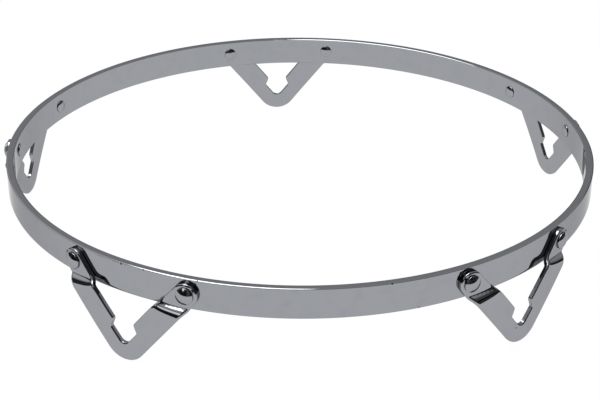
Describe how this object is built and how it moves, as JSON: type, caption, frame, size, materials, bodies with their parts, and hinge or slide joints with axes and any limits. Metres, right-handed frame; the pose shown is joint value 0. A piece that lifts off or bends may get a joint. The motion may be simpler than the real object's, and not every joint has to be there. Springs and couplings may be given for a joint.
{
  "type": "conga side-plate ring",
  "caption": "Chromed steel hoop with riveted V-shaped side plates, each with a key slot for a tuning rod; it slides over a small conga's shell and anchors its tuning.",
  "frame": {"origin": "on the ring's axis at half the height of its hoop, where the drum's shell passes through", "axes": "+Z along the ring's axis towards the drum's head, with the plates' tips below; one side plate points along +Y"},
  "size_m": [0.3192, 0.3149, 0.0491],
  "materials": {
    "hoop_chrome": "bright chrome plate over flat steel strip, faintly uneven from rolling",
    "plate_chrome": "bright chrome plate over pressed steel with tumbled edges",
    "rivet_chrome": "bright chrome plate"
  },
  "bodies": {
    "root": {"hoop": "hoop_chrome", "side_plate_1": "plate_chrome", "rivet_1_left": "rivet_chrome", "rivet_1_right": "rivet_chrome", "side_plate_2": "plate_chrome", "rivet_2_left": "rivet_chrome", "rivet_2_right": "rivet_chrome", "side_plate_3": "plate_chrome", "rivet_3_left": "rivet_chrome", "rivet_3_right": "rivet_chrome", "side_plate_4": "plate_chrome", "rivet_4_left": "rivet_chrome", "rivet_4_right": "rivet_chrome", "side_plate_5": "plate_chrome", "rivet_5_left": "rivet_chrome", "rivet_5_right": "rivet_chrome"}
  },
  "joints": []
}
